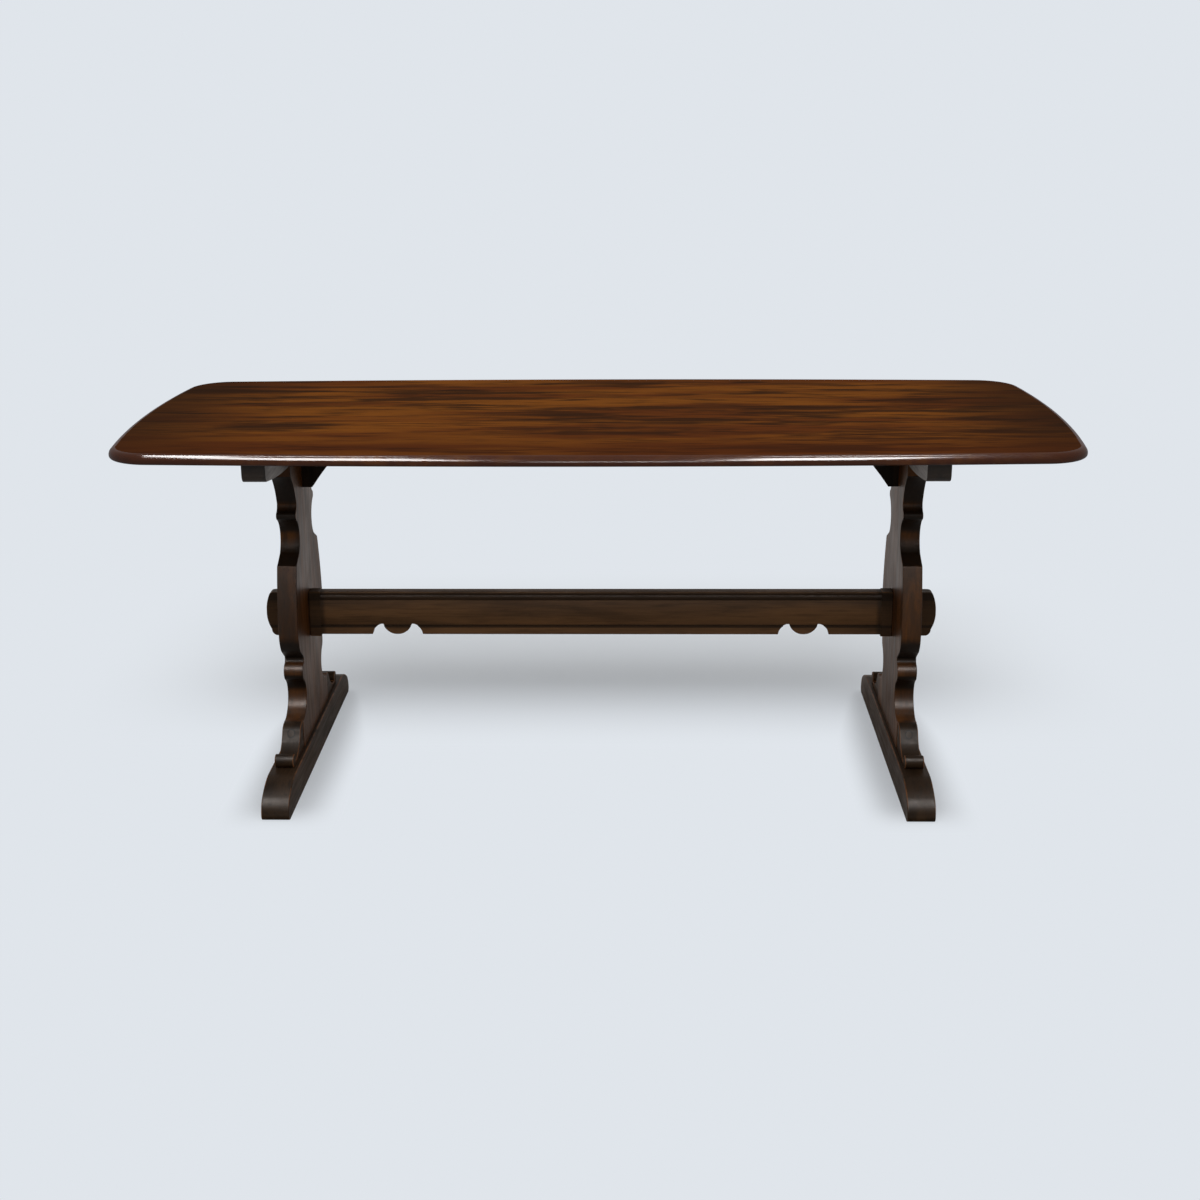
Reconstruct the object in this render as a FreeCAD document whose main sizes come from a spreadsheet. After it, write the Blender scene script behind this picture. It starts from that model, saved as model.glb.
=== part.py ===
"""Trestle dining table in dark wood, in millimetres.

The frame has +Z up and its origin on the floor under the middle of the top.
+X runs along the top and +Y to the back. The pieces of a trestle end are
drawn in its own frame, where +X points inwards to the middle of the table,
and are then placed on their side, so both ends are the same set of pieces.
"""
import FreeCAD, Part
import math
import os
import Sketcher

os.makedirs("parts", exist_ok=True)
doc = FreeCAD.newDocument("trestle_table")

# Driving sizes, in millimetres
SIZES = {
    # Top
    "table_height": 720,
    "top_length": 1826,
    "top_width": 794,
    "top_thickness": 19,
    "side_bow_radius": 17800,
    "end_bow_radius": 2480,
    "corner_radius": 89,
    "upper_edge_rounding": 13,
    "lower_edge_rounding": 5,
    "tongue_thickness": 7,
    "tongue_reach": 8,
    "tongue_setback": 70,
    "tongue_clearance": 0.5,
    # Uprights
    "end_overhang": 295.4,
    "upright_thickness": 39,
    "upright_half_width": 142,
    "upright_tenon_thickness": 13,
    "upright_tenon_inner": 30,
    "upright_tenon_outer": 88,
    "upright_tenon_height": 32,
    "mortise_end_clearance": 1,
    # Bearers
    "bearer_setback": 46,
    "bearer_height": 58,
    "bearer_outer_step": 5,
    # Feet
    "foot_setback": 31,
    "foot_height": 63,
    "foot_width": 54,
    # Cheeks on the feet
    "cheek_reach": 116,
    "cheek_height": 56,
    "cheek_thickness": 37,
    "cheek_screw_height": 41,
    "cheek_screw_grip": 11.5,
    "cheek_screw_bite": 30,
    "plug_radius": 7,
    # Stretcher
    "stretcher_height": 306.7,
    "stretcher_depth": 91.6,
    "stretcher_thickness": 28,
    "shoulder_length": 23,
    "shoulder_rise": 0.8,
    "shoulder_drop": 3.5,
    "tenon_inset": 1.5,
    "tenon_thickness": 24,
    "tenon_reach": 49.6,
    "scallop_inset": 200,
    "scallop_half_width": 52,
    "scallop_depth": 22.5,
    "wedge_thin_end": 1,
    "wedge_thick_end": 5,
    # Knee brackets
    "knee_thickness": 28,
    "knee_height": 128,
    "knee_reach": 98,
    "dowel_radius": 5,
    "dowel_half_length": 17,
    "dowel_end_clearance": 1,
    # Screws up into the top, and the sizes that all the screws share
    "top_screw_grip": 22,
    "top_screw_bite": 13,
    "screw_shank_radius": 2.5,
    "screw_head_radius": 5,
    "screw_head_height": 3,
    "screw_tip_length": 6,
    "screw_point_radius": 0.4,
    "screw_slot_width": 1.2,
    "screw_slot_depth": 1.4,
    "screw_hole_clearance": 0.25,
    "pilot_end_clearance": 1,
    "counterbore_radius": 6,
    # Cuts
    "cut_overrun": 12,
}

# Outlines, as shares of the sizes that they follow. A "via" point is passed
# by an arc between the two corners beside it.
# Half of an upright: shares of its half width and height, from the top down
UPRIGHT_SHARES = [
    (0.880, 1.000, "corner"),
    (0.880, 0.960, "corner"),
    (0.662, 0.897, "via"),
    (0.585, 0.850, "corner"),
    (0.606, 0.835, "via"),
    (0.669, 0.824, "corner"),
    (0.697, 0.811, "via"),
    (0.662, 0.798, "corner"),
    (0.482, 0.731, "via"),
    (0.592, 0.674, "corner"),
    (0.831, 0.645, "corner"),
    (0.944, 0.538, "via"),
    (1.000, 0.412, "corner"),
    (0.979, 0.376, "via"),
    (0.894, 0.342, "corner"),
    (0.704, 0.309, "corner"),
    (0.690, 0.298, "via"),
    (0.746, 0.286, "corner"),
    (0.824, 0.257, "via"),
    (0.746, 0.226, "corner"),
    (0.620, 0.173, "via"),
    (0.761, 0.112, "corner"),
    (0.859, 0.099, "via"),
    (1.000, 0.096, "corner"),
    (1.000, 0.000, "corner"),
]
# Half of a bearer: shares of its half length and height, from the top down
BEARER_SHARES = [
    (1.000, 1.000, "corner"),
    (1.000, 0.545, "corner"),
    (0.991, 0.400, "via"),
    (0.972, 0.322, "corner"),
    (0.712, 0.120, "via"),
    (0.427, 0.000, "corner"),
]
# Half of a foot: shares of its half length and height, from the top down
FOOT_SHARES = [
    (0.770, 1.000, "corner"),
    (0.869, 0.890, "via"),
    (0.943, 0.695, "corner"),
    (0.984, 0.480, "via"),
    (1.000, 0.220, "corner"),
    (0.996, 0.060, "via"),
    (0.978, 0.000, "corner"),
]
# A cheek with its roll bead: shares of its reach and height, from the upright out
CHEEK_SHARES = [
    (0.000, 0.000, "corner"),
    (0.000, 1.000, "corner"),
    (0.142, 0.964, "via"),
    (0.228, 0.839, "corner"),
    (0.284, 0.652, "via"),
    (0.345, 0.482, "corner"),
    (0.450, 0.320, "via"),
    (0.690, 0.134, "corner"),
    (0.790, 0.132, "corner"),
    (0.890, 0.457, "via"),
    (0.960, 0.054, "corner"),
    (0.940, 0.000, "corner"),
]
# A knee bracket: shares of its reach and height, from the top down
KNEE_SHARES = [
    (0.000, 1.000, "corner"),
    (1.000, 1.000, "corner"),
    (1.000, 0.758, "corner"),
    (0.735, 0.594, "via"),
    (0.563, 0.367, "corner"),
    (0.380, 0.190, "corner"),
    (0.290, 0.095, "via"),
    (0.204, 0.000, "corner"),
    (0.000, 0.000, "corner"),
]
# The rounded outer end of the stretcher's tenon: shares of its reach and depth
TENON_END_SHARES = [
    (0.000, 1.000, "corner"),
    (0.700, 1.000, "corner"),
    (0.790, 0.985, "via"),
    (0.861, 0.935, "corner"),
    (0.955, 0.780, "via"),
    (1.000, 0.560, "corner"),
    (0.923, 0.256, "via"),
    (0.827, 0.141, "corner"),
    (0.770, 0.045, "via"),
    (0.650, 0.000, "corner"),
    (0.000, 0.000, "corner"),
]
# Half of the stretcher's moulded section: shares of its half thickness and depth
MOULDING_SHARES = [
    (0.690, 1.000, "corner"),
    (0.806, 0.992, "via"),
    (0.857, 0.970, "corner"),
    (0.857, 0.941, "corner"),
    (0.643, 0.936, "corner"),
    (0.800, 0.905, "via"),
    (0.870, 0.838, "corner"),
    (0.643, 0.831, "corner"),
    (0.643, 0.803, "corner"),
    (0.740, 0.796, "corner"),
    (1.000, 0.520, "via"),
    (0.740, 0.243, "corner"),
    (0.643, 0.238, "corner"),
    (0.643, 0.205, "corner"),
    (0.857, 0.198, "corner"),
    (0.857, 0.035, "corner"),
    (0.820, 0.010, "via"),
    (0.720, 0.000, "corner"),
]
# A scallop in the stretcher: shares of its half width and depth, from end to end
SCALLOP_SHARES = [
    (-1.000, 0.000, "corner"),
    (-0.807, 0.800, "via"),
    (-0.569, 1.000, "corner"),
    (0.000, 0.020, "via"),
    (0.569, 1.000, "corner"),
    (0.807, 0.800, "via"),
    (1.000, 0.000, "corner"),
]
BOARD_NAMES = ["front", "front_inner", "middle", "back_inner", "back"]
BEARER_SCREW_SHARES = [-0.883, -0.453, 0.453, 0.883]
DOWEL_HEIGHT_SHARES = [0.190, 0.450]
KNEE_SCREW_SHARE = 0.800
SIDE_SIGNS = {"left": -1, "right": 1}
END_SIGNS = {"front": -1, "back": 1}

UPWARDS = FreeCAD.Rotation()
HALF_TURN = FreeCAD.Rotation(FreeCAD.Vector(0, 0, 1), 180)
ALONG_X = FreeCAD.Rotation(FreeCAD.Vector(0, 1, 0), 90)
AGAINST_Y = FreeCAD.Rotation(FreeCAD.Vector(1, 0, 0), 90)


class Length:
    """A length as a number, with the sheet expression that gives it."""

    def __init__(self, value, text):
        self.value = value
        self.text = text

    def __add__(self, other):
        return Length(self.value + other.value, f"({self.text} + {other.text})")

    def __sub__(self, other):
        return Length(self.value - other.value, f"({self.text} - {other.text})")

    def __mul__(self, share):
        return Length(self.value * share, f"({self.text} * {share})")

    def __neg__(self):
        return Length(-self.value, f"(-{self.text})")


def make_sheet(sizes):
    """Write the driving sizes to the sheet and return them as lengths."""
    sheet = doc.addObject("Spreadsheet::Sheet", "Sizes")
    for row, (name, value) in enumerate(sizes.items(), start=1):
        sheet.set(f"A{row}", name)
        sheet.set(f"B{row}", str(value))
        sheet.setAlias(f"B{row}", name)
    doc.recompute()
    return {name: Length(float(sheet.get(name)), f"Sizes.{name}") for name in sizes}


size = make_sheet(SIZES)
NONE = Length(0.0, "0")

# Levels and faces that several pieces share
half_length = size["top_length"] * 0.5
half_width = size["top_width"] * 0.5
trestle_offset = half_length - size["end_overhang"]
bearer_half_length = half_width - size["bearer_setback"]
foot_half_length = half_width - size["foot_setback"]
top_underside = size["table_height"] - size["top_thickness"]
bearer_underside = top_underside - size["bearer_height"]
upright_height = bearer_underside - size["foot_height"]
inner_face = size["upright_thickness"] * 0.5
outer_face = -inner_face
stretcher_bottom = size["stretcher_height"] - size["stretcher_depth"] * 0.5
stretcher_top = size["stretcher_height"] + size["stretcher_depth"] * 0.5
shoulder_bottom = stretcher_bottom - size["shoulder_drop"]
shoulder_top = stretcher_top + size["shoulder_rise"]
tenon_bottom = shoulder_bottom + size["tenon_inset"]
tenon_top = shoulder_top - size["tenon_inset"]
knee_bottom = top_underside - size["knee_height"]
knee_screw_place = inner_face + size["knee_reach"] * KNEE_SCREW_SHARE
top_screw_seat = top_underside - size["top_screw_grip"]
cheek_screw_level = size["foot_height"] + size["cheek_screw_height"]
cheek_screw_seat = size["upright_half_width"] + size["cheek_screw_grip"]
hole_radius = size["screw_shank_radius"] + size["screw_hole_clearance"]
board_width = size["top_width"] * (1 / len(BOARD_NAMES))


def bind(item, path, length):
    """Bind one property of an object to a length of the sheet."""
    item.setExpression(path, length.text)


def place(item, base, turn=UPWARDS):
    """Place an object at a bound point, with a turn."""
    point = FreeCAD.Vector(*[length.value for length in base])
    item.Placement = FreeCAD.Placement(point, turn)
    for axis, length in zip("xyz", base):
        bind(item, f"Placement.Base.{axis}", length)
    return item


def set_sizes(item, lengths):
    """Set and bind several lengths of an object."""
    for name, length in lengths.items():
        setattr(item, name, length.value)
        bind(item, name, length)


def on_trestle(side, x=NONE, y=NONE, z=NONE):
    """Return where a point of the trestle's own frame lies on the table."""
    sign = SIDE_SIGNS[side]
    return trestle_offset * sign + x * -sign, y * -sign, z


def trestle_turn(side):
    """Return how a trestle's own frame is turned on the table."""
    return HALF_TURN if side == "right" else UPWARDS


# Outlines
def scaled(shares, width, height, x_start=NONE, y_start=NONE):
    """Turn a list of shares into an outline of bound points."""
    return [(x_start + width * x, y_start + height * y, kind) for x, y, kind in shares]


def mirrored(outline):
    """Return an outline mirrored from side to side, in the reverse order."""
    return [(-x, y, kind) for x, y, kind in reversed(outline)]


def rectangle(x_low, x_high, y_low, y_high):
    """Return the outline of a rectangle."""
    return [(x, y, "corner") for x, y in
            ((x_low, y_low), (x_high, y_low), (x_high, y_high), (x_low, y_high))]


def arc_between(start, middle, stop):
    """Return the arc through three points, and which of its ends is the stop."""
    through = Part.Circle(start, middle, stop)
    circle = Part.Circle(through.Center, FreeCAD.Vector(0, 0, 1), through.Radius)
    turns_left = (middle - start).cross(stop - middle).z > 0
    first, last = (start, stop) if turns_left else (stop, start)
    arc = Part.ArcOfCircle(circle, circle.parameter(first), circle.parameter(last))
    return arc, 2 if turns_left else 1


def pin_point(constraints, lengths, geometry, point, x, y):
    """List the two distances that hold one point of a sketch."""
    for kind, length in (("DistanceX", x), ("DistanceY", y)):
        constraints.append(Sketcher.Constraint(kind, -1, 1, geometry, point, length.value))
        lengths.append(length)


def add_constraints(sketch, constraints, lengths):
    """Add the constraints to a sketch and bind those that are lengths."""
    first = sketch.ConstraintCount
    sketch.addConstraint(constraints)
    for number, length in enumerate(lengths, start=first):
        if length is not None:
            bind(sketch, f"Constraints[{number}]", length)


def draw_outline(sketch, outline):
    """Draw a closed outline of bound points as lines and arcs."""
    vectors = [FreeCAD.Vector(x.value, y.value, 0) for x, y, kind in outline]
    start = vectors[-1]
    middle = None
    curves = []
    ends = []
    for point, vector in zip(outline, vectors):
        if point[2] == "via":
            middle = (point, vector)
            continue
        if middle is None:
            curves.append(Part.LineSegment(start, vector))
            ends.append((2, point, None))
        else:
            arc, end = arc_between(start, middle[1], vector)
            curves.append(arc)
            ends.append((end, point, middle))
        start = vector
        middle = None
    sketch.addGeometry(curves, False)
    passed = [middle for end, point, middle in ends if middle is not None]
    sketch.addGeometry([Part.Point(vector) for point, vector in passed], True)
    constraints = []
    lengths = []
    marker = len(curves)
    for number, (end, point, middle) in enumerate(ends):
        follower = (number + 1) % len(ends)
        next_start = 3 - ends[follower][0]
        constraints.append(Sketcher.Constraint("Coincident", number, end, follower, next_start))
        lengths.append(None)
        pin_point(constraints, lengths, number, end, point[0], point[1])
        if middle is not None:
            constraints.append(Sketcher.Constraint("PointOnObject", marker, 1, number))
            lengths.append(None)
            pin_point(constraints, lengths, marker, 1, middle[0][0], middle[0][1])
            marker += 1
    add_constraints(sketch, constraints, lengths)


# Bodies and their features
def make_body(label):
    """Start a body."""
    body = doc.addObject("PartDesign::Body", label)
    body.Label = label
    return body


def make_sketch(body, name, role, shift=NONE):
    """Start a sketch on one of the body's origin planes, moved along its normal."""
    sketch = body.newObject("Sketcher::SketchObject", name)
    plane = [item for item in body.Origin.OriginFeatures if item.Role == role][0]
    sketch.AttachmentSupport = (plane, [""])
    sketch.MapMode = "FlatFace"
    sketch.AttachmentOffset.Base.z = shift.value
    bind(sketch, "AttachmentOffset.Base.z", shift)
    return sketch


def finish_feature(body, feature):
    """Make a feature the body's tip and work it out."""
    body.Tip = feature
    doc.recompute()
    return feature


def add_profile(body, kind, name, role, outline, length, shift=NONE):
    """Draw an outline on an origin plane and pad or pocket it to both sides."""
    sketch = make_sketch(body, f"{name}_sketch", role, shift)
    draw_outline(sketch, outline)
    doc.recompute()
    before = body.Shape.Volume if kind == "Pocket" else None
    feature = body.newObject(f"PartDesign::{kind}", name)
    feature.Profile = sketch
    feature.SideType = "Symmetric"
    set_sizes(feature, {"Length": length})
    finish_feature(body, feature)
    if before is not None:
        check_cut(body, before, name)
    return feature


def check_cut(body, before, name):
    """Stop when a cut removed nothing from a body."""
    if not body.Shape.Volume < before:
        raise RuntimeError(f"{name} removed nothing from {body.Label}")


def add_round(body, kind, name, centre, turn, lengths):
    """Add a cylinder or cone to a body, or take it away, from a bound centre."""
    before = body.Shape.Volume
    feature = body.newObject(f"PartDesign::{kind}", name)
    feature.MapMode = "Deactivated"
    place(feature, centre, turn)
    set_sizes(feature, lengths)
    finish_feature(body, feature)
    check_cut(body, before, name)


def add_screw_hole(body, name, x, y, start):
    """Drill a counterbore from a level up to a screw's seat, and the hole to the top."""
    add_round(body, "SubtractiveCylinder", f"{name}_counterbore", (x, y, start), UPWARDS,
              {"Radius": size["counterbore_radius"], "Height": top_screw_seat - start})
    add_round(body, "SubtractiveCone", f"{name}_countersink", (x, y, top_screw_seat), UPWARDS,
              {"Radius1": size["screw_head_radius"], "Radius2": size["screw_shank_radius"],
               "Height": size["screw_head_height"]})
    add_round(body, "SubtractiveCylinder", f"{name}_hole", (x, y, top_screw_seat), UPWARDS,
              {"Radius": hole_radius, "Height": size["top_screw_grip"]})


def add_dowel_holes(body, label, start):
    """Drill the blind holes for the knee bracket's dowels, from a start inwards."""
    for number, share in enumerate(DOWEL_HEIGHT_SHARES, start=1):
        level = knee_bottom + size["knee_height"] * share
        add_round(body, "SubtractiveCylinder", f"{label}_dowel_hole_{number}",
                  (start, NONE, level), ALONG_X,
                  {"Radius": size["dowel_radius"], "Height": size["dowel_half_length"]})


# Blocks for the booleans
def make_box(name, x_low, x_high, y_low, y_high, z_low, z_high):
    """Make a block between bound limits."""
    block = doc.addObject("Part::Box", name)
    set_sizes(block, {"Length": x_high - x_low, "Width": y_high - y_low, "Height": z_high - z_low})
    return place(block, (x_low, y_low, z_low))


def make_rod(name, centre, turn, radius, length):
    """Make a cylinder from a bound centre."""
    rod = doc.addObject("Part::Cylinder", name)
    set_sizes(rod, {"Radius": radius, "Height": length})
    return place(rod, centre, turn)


def make_group(label, members):
    """Gather separate solids that share one node."""
    group = doc.addObject("Part::Compound", label)
    group.Label = label
    group.Links = members
    return group


# Top
def corner_centre():
    """Return the centres of the corner's arc, the side's arc and the end's arc."""
    side_reach = (size["side_bow_radius"] - size["corner_radius"]).value
    end_reach = (size["end_bow_radius"] - size["corner_radius"]).value
    side = FreeCAD.Vector(0, (half_width - size["side_bow_radius"]).value, 0)
    end = FreeCAD.Vector((half_length - size["end_bow_radius"]).value, 0, 0)
    gap = end - side
    along = (side_reach ** 2 - end_reach ** 2 + gap.Length ** 2) / (2 * gap.Length)
    across = math.sqrt(side_reach ** 2 - along ** 2)
    unit = FreeCAD.Vector(gap).normalize()
    normal = FreeCAD.Vector(unit.y, -unit.x, 0)
    return side + unit * along + normal * across, side, end


def draw_top_outline(sketch):
    """Draw the top's outline: bowed sides and ends, tangent to rounded corners."""
    corner, side, end = corner_centre()
    side_angle = math.atan2(corner.y - side.y, corner.x - side.x)
    end_angle = math.atan2(corner.y - end.y, corner.x - end.x)
    half_circle = math.pi
    arcs = [
        (end.x, 0, "end_bow_radius", -end_angle, end_angle),
        (corner.x, corner.y, "corner_radius", end_angle, side_angle),
        (0, side.y, "side_bow_radius", side_angle, half_circle - side_angle),
        (-corner.x, corner.y, "corner_radius", half_circle - side_angle, half_circle - end_angle),
        (-end.x, 0, "end_bow_radius", half_circle - end_angle, half_circle + end_angle),
        (-corner.x, -corner.y, "corner_radius", half_circle + end_angle, half_circle + side_angle),
        (0, -side.y, "side_bow_radius", half_circle + side_angle, -side_angle),
        (corner.x, -corner.y, "corner_radius", -side_angle, -end_angle),
    ]
    curves = []
    constraints = []
    lengths = []
    for number, (x, y, radius, start, stop) in enumerate(arcs):
        centre = FreeCAD.Vector(x, y, 0)
        circle = Part.Circle(centre, FreeCAD.Vector(0, 0, 1), size[radius].value)
        curves.append(Part.ArcOfCircle(circle, start, stop))
        constraints.append(Sketcher.Constraint("Tangent", number, 2, (number + 1) % len(arcs), 1))
        lengths.append(None)
        constraints.append(Sketcher.Constraint("Radius", number, size[radius].value))
        lengths.append(size[radius])
    sketch.addGeometry(curves, False)
    end_centre = half_length - size["end_bow_radius"]
    side_centre = half_width - size["side_bow_radius"]
    for number, x, y in ((0, end_centre, NONE), (2, NONE, side_centre),
                         (4, -end_centre, NONE), (6, NONE, -side_centre)):
        pin_point(constraints, lengths, number, 3, x, y)
    add_constraints(sketch, constraints, lengths)


def round_rim(body, name, way):
    """Round the rim of the body's upper (way 1) or lower (way -1) face."""
    panel = body.Tip
    face = max(panel.Shape.Faces, key=lambda face: face.CenterOfMass.z * way)
    rim = [f"Edge{number}" for number, edge in enumerate(panel.Shape.Edges, start=1)
           if any(edge.isSame(border) for border in face.Edges)]
    rounding = body.newObject("PartDesign::Fillet", f"{name}_rounding")
    rounding.Base = (panel, rim)
    set_sizes(rounding, {"Radius": size[f"{name}_edge_rounding"]})
    finish_feature(body, rounding)


def make_top_blank():
    """Build the whole top before it is divided into boards."""
    body = make_body("top_blank")
    sketch = make_sketch(body, "top_outline", "XY_Plane")
    draw_top_outline(sketch)
    doc.recompute()
    panel = body.newObject("PartDesign::Pad", "top_panel")
    panel.Profile = sketch
    set_sizes(panel, {"Length": size["top_thickness"]})
    finish_feature(body, panel)
    round_rim(body, "lower", -1)
    round_rim(body, "upper", 1)
    return place(body, (NONE, NONE, top_underside))


def top_screws():
    """Return the name and place of each screw that runs up into the top."""
    places = []
    for side in SIDE_SIGNS:
        for number, share in enumerate(BEARER_SCREW_SHARES, start=1):
            x, y, z = on_trestle(side, NONE, bearer_half_length * share)
            places.append((f"{side}_{number}", x, y))
        x, y, z = on_trestle(side, knee_screw_place)
        places.append((f"{side}_knee", x, y))
    return places


def make_boards(blank):
    """Divide the top into boards, each with a tongue in the next one's groove."""
    tongue_end = half_length - size["tongue_setback"]
    groove_end = tongue_end + size["tongue_clearance"]
    groove_depth = size["tongue_reach"] + size["tongue_clearance"]
    tongue_low = top_underside + (size["top_thickness"] - size["tongue_thickness"]) * 0.5
    tongue_high = tongue_low + size["tongue_thickness"]
    pilot_depth = size["top_screw_bite"] + size["pilot_end_clearance"]
    for number, name in enumerate(BOARD_NAMES):
        label = f"top_board_{name}"
        low = board_width * number - half_width
        high = low + board_width
        slab = make_box(f"{label}_slab", -half_length, half_length, low, high,
                        top_underside, size["table_height"])
        piece = doc.addObject("Part::Common", f"{label}_plain")
        piece.Base = blank
        piece.Tool = slab
        if number < len(BOARD_NAMES) - 1:
            plain = piece
            piece = doc.addObject("Part::Fuse", f"{label}_tongued")
            piece.Base = plain
            piece.Tool = make_box(f"{label}_tongue", -tongue_end, tongue_end, high,
                                  high + size["tongue_reach"], tongue_low, tongue_high)
        cuts = []
        if number > 0:
            cuts.append(make_box(f"{label}_groove", -groove_end, groove_end, low,
                                 low + groove_depth, tongue_low, tongue_high))
        for spot, x, y in top_screws():
            if low.value < y.value < high.value:
                cuts.append(make_rod(f"{label}_pilot_{spot}", (x, y, top_underside), UPWARDS,
                                     size["screw_shank_radius"], pilot_depth))
        board = doc.addObject("Part::Cut", label)
        board.Label = label
        board.Base = piece
        board.Tool = make_group(f"{label}_cuts", cuts)
        PIECES[label] = board


# Trestle ends
def upright_tenons():
    """Return the near and far limit of each of an upright's stub tenons."""
    return {end: (size["upright_tenon_inner"] * sign, size["upright_tenon_outer"] * sign)
            for end, sign in END_SIGNS.items()}


def make_upright(side):
    """Build a scrolled upright with its stub tenons and the stretcher's mortise."""
    label = f"upright_{side}"
    body = make_body(label)
    half = scaled(UPRIGHT_SHARES, size["upright_half_width"], upright_height,
                  NONE, size["foot_height"])
    add_profile(body, "Pad", f"{label}_board", "YZ_Plane", half + mirrored(half),
                size["upright_thickness"])
    foot_tenon = size["foot_height"] - size["upright_tenon_height"]
    bearer_tenon = bearer_underside + size["upright_tenon_height"]
    for end, (near, far) in upright_tenons().items():
        add_profile(body, "Pad", f"{label}_foot_tenon_{end}", "YZ_Plane",
                    rectangle(near, far, foot_tenon, size["foot_height"]),
                    size["upright_tenon_thickness"])
        add_profile(body, "Pad", f"{label}_bearer_tenon_{end}", "YZ_Plane",
                    rectangle(near, far, bearer_underside, bearer_tenon),
                    size["upright_tenon_thickness"])
    mortise = [
        (inner_face, tenon_bottom - size["wedge_thin_end"], "corner"),
        (inner_face, tenon_top + size["wedge_thin_end"], "corner"),
        (outer_face, tenon_top + size["wedge_thick_end"], "corner"),
        (outer_face, tenon_bottom - size["wedge_thick_end"], "corner"),
    ]
    add_profile(body, "Pocket", f"{label}_mortise", "XZ_Plane", mortise, size["tenon_thickness"])
    add_dowel_holes(body, label, inner_face - size["dowel_half_length"])
    for end, sign in END_SIGNS.items():
        add_round(body, "SubtractiveCylinder", f"{label}_pilot_{end}",
                  (NONE, size["upright_half_width"] * sign, cheek_screw_level),
                  AGAINST_Y if end == "back" else HALF_TURN * AGAINST_Y,
                  {"Radius": size["screw_shank_radius"],
                   "Height": size["cheek_screw_bite"] + size["pilot_end_clearance"]})
    PIECES[label] = place(body, on_trestle(side), trestle_turn(side))


def make_bearer(side):
    """Build a bearer with tapered, rounded ends, mortises and screw holes."""
    label = f"bearer_{side}"
    body = make_body(label)
    half = scaled(BEARER_SHARES, bearer_half_length, size["bearer_height"],
                  NONE, bearer_underside)
    add_profile(body, "Pad", f"{label}_board", "YZ_Plane", half + mirrored(half),
                size["upright_thickness"] + size["bearer_outer_step"],
                -(size["bearer_outer_step"] * 0.5))
    roof = bearer_underside + size["upright_tenon_height"] + size["mortise_end_clearance"]
    for end, (near, far) in upright_tenons().items():
        add_profile(body, "Pocket", f"{label}_mortise_{end}", "YZ_Plane",
                    rectangle(near, far, bearer_underside, roof), size["upright_tenon_thickness"])
    for number, share in enumerate(BEARER_SCREW_SHARES, start=1):
        add_screw_hole(body, f"{label}_{number}", NONE, bearer_half_length * share,
                       bearer_underside)
    PIECES[label] = place(body, on_trestle(side), trestle_turn(side))


def make_foot(side):
    """Build a sled foot with rounded toes and the mortises for the upright."""
    label = f"foot_{side}"
    body = make_body(label)
    half = scaled(FOOT_SHARES, foot_half_length, size["foot_height"])
    add_profile(body, "Pad", f"{label}_block", "YZ_Plane", half + mirrored(half),
                size["foot_width"])
    floor = size["foot_height"] - size["upright_tenon_height"] - size["mortise_end_clearance"]
    for end, (near, far) in upright_tenons().items():
        add_profile(body, "Pocket", f"{label}_mortise_{end}", "YZ_Plane",
                    rectangle(near, far, floor, size["foot_height"]),
                    size["upright_tenon_thickness"])
    PIECES[label] = place(body, on_trestle(side), trestle_turn(side))


def make_knee_bracket(side):
    """Build a knee bracket, with its dowel holes and its screw hole."""
    label = f"knee_bracket_{side}"
    body = make_body(label)
    outline = scaled(KNEE_SHARES, size["knee_reach"], size["knee_height"], inner_face, knee_bottom)
    add_profile(body, "Pad", f"{label}_board", "XZ_Plane", outline, size["knee_thickness"])
    add_dowel_holes(body, label, inner_face)
    add_screw_hole(body, label, knee_screw_place, NONE, knee_bottom)
    PIECES[label] = place(body, on_trestle(side), trestle_turn(side))


def make_knee_dowels():
    """Build the dowels between the knee brackets and their uprights."""
    reach = size["dowel_half_length"] - size["dowel_end_clearance"]
    dowels = []
    for side, sign in SIDE_SIGNS.items():
        face = (trestle_offset - inner_face) * sign
        for number, share in enumerate(DOWEL_HEIGHT_SHARES, start=1):
            level = knee_bottom + size["knee_height"] * share
            dowels.append(make_rod(f"knee_dowel_{side}_{number}", (face - reach, NONE, level),
                                   ALONG_X, size["dowel_radius"], reach * 2))
    PIECES["knee_dowels"] = make_group("knee_dowels", dowels)


def make_wedges():
    """Build the wedges that lock the stretcher's tenons in their mortises."""
    wedges = []
    for side in SIDE_SIGNS:
        for name, level, sign in (("upper", tenon_top, 1), ("lower", tenon_bottom, -1)):
            body = make_body(f"wedge_{side}_{name}")
            outline = [
                (inner_face, level, "corner"),
                (inner_face, level + size["wedge_thin_end"] * sign, "corner"),
                (outer_face, level + size["wedge_thick_end"] * sign, "corner"),
                (outer_face, level, "corner"),
            ]
            add_profile(body, "Pad", f"wedge_{side}_{name}_block", "XZ_Plane", outline,
                        size["tenon_thickness"])
            wedges.append(place(body, on_trestle(side), trestle_turn(side)))
    PIECES["stretcher_wedges"] = make_group("stretcher_wedges", wedges)


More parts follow.
